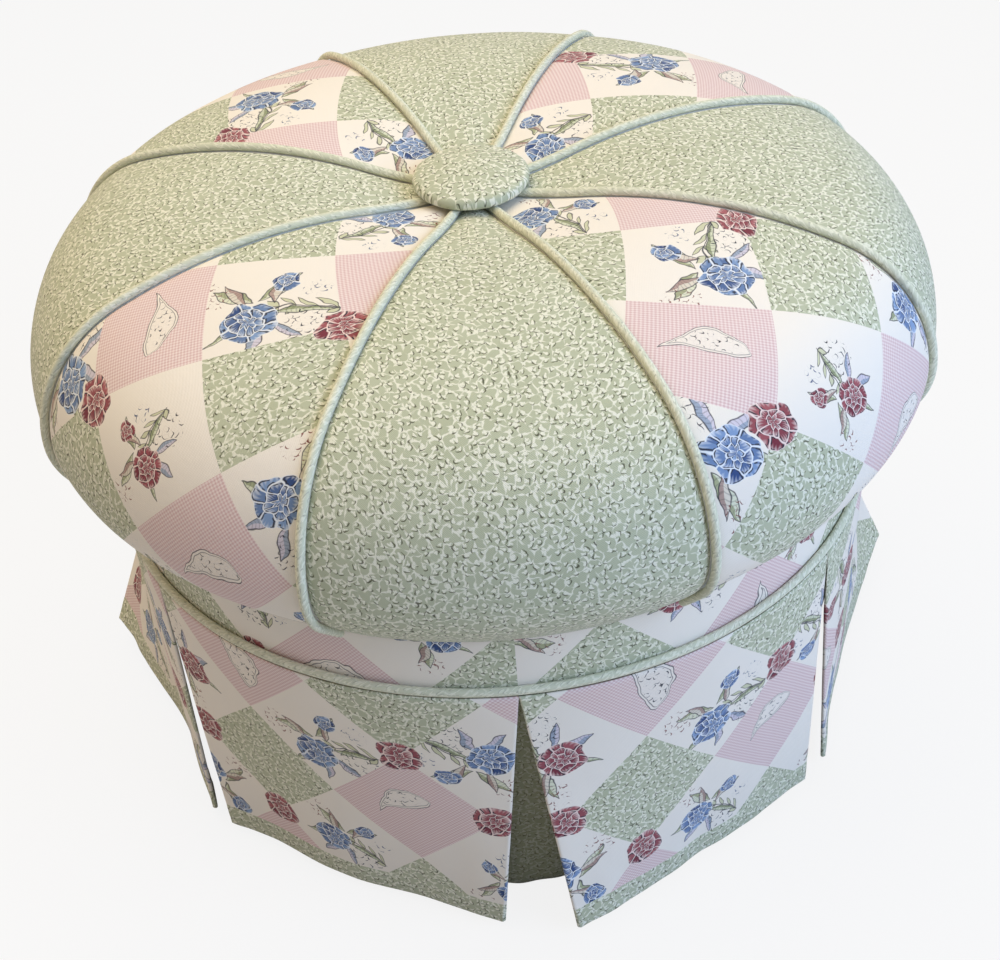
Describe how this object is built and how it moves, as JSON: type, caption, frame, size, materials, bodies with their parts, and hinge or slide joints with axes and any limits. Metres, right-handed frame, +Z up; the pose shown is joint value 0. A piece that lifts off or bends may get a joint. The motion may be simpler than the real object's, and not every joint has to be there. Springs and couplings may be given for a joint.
{
  "type": "skirted tuffet",
  "caption": "Round upholstered footstool with a domed gored cushion, covered centre button, piped seams, boxing band and a kick-pleated skirt to the floor.",
  "frame": {"origin": "on the floor under the centre of the seat", "axes": "+Z up; -Y is the front, where one pleat opens; +X to the right of someone who faces the stool"},
  "size_m": [0.626, 0.61, 0.4517],
  "materials": {
    "green_cloth": "printed cotton, cream scroll print on sage green",
    "patchwork_cloth": "printed cotton patchwork in cream, rose check and sage green",
    "batting": "bonded polyester fibre",
    "foam": "cut polyether foam",
    "felt": "needled felt",
    "cambric": "black spunbond cambric",
    "card": "pressed card",
    "twine": "waxed flax twine",
    "plywood": "birch plywood, sanded",
    "beech": "turned beech, stained and lacquered",
    "nylon": "moulded nylon",
    "zinc_steel": "zinc plated steel"
  },
  "bodies": {
    "root": {"base_ring": "plywood", "batting": "batting", "boxing_band": "patchwork_cloth", "button_back": "zinc_steel", "button_cover": "green_cloth", "button_mould": "zinc_steel", "cover_gore_1": "green_cloth", "cover_gore_2": "patchwork_cloth", "cover_gore_3": "green_cloth", "cover_gore_4": "patchwork_cloth", "cover_gore_5": "green_cloth", "cover_gore_6": "patchwork_cloth", "cover_gore_7": "green_cloth", "cover_gore_8": "patchwork_cloth", "drum_padding": "felt", "drum_wall": "plywood", "dust_cover": "cambric", "foam_base": "foam", "foam_crown": "foam", "frame_post_1": "beech", "frame_post_2": "beech", "frame_post_3": "beech", "frame_post_4": "beech", "frame_screws": "zinc_steel", "hanger_bolts": "zinc_steel", "leg_1": "beech", "leg_2": "beech", "leg_3": "beech", "leg_4": "beech", "leg_glide_1": "nylon", "leg_glide_2": "nylon", "leg_glide_3": "nylon", "leg_glide_4": "nylon", "pleat_insert_1": "green_cloth", "pleat_insert_2": "green_cloth", "pleat_insert_3": "green_cloth", "pleat_insert_4": "green_cloth", "pleat_insert_5": "green_cloth", "pleat_insert_6": "green_cloth", "seam_piping_1": "green_cloth", "seam_piping_2": "green_cloth", "seam_piping_3": "green_cloth", "seam_piping_4": "green_cloth", "seam_piping_5": "green_cloth", "seam_piping_6": "green_cloth", "seam_piping_7": "green_cloth", "seam_piping_8": "green_cloth", "skirt_panel_1": "patchwork_cloth", "skirt_panel_2": "patchwork_cloth", "skirt_panel_3": "patchwork_cloth", "skirt_panel_4": "patchwork_cloth", "skirt_panel_5": "patchwork_cloth", "skirt_panel_6": "patchwork_cloth", "skirt_welt": "green_cloth", "tack_strip": "card", "tee_nuts": "zinc_steel", "top_board": "plywood", "tufting_twine": "twine", "twine_toggle": "beech", "upper_ring": "plywood"}
  },
  "joints": []
}
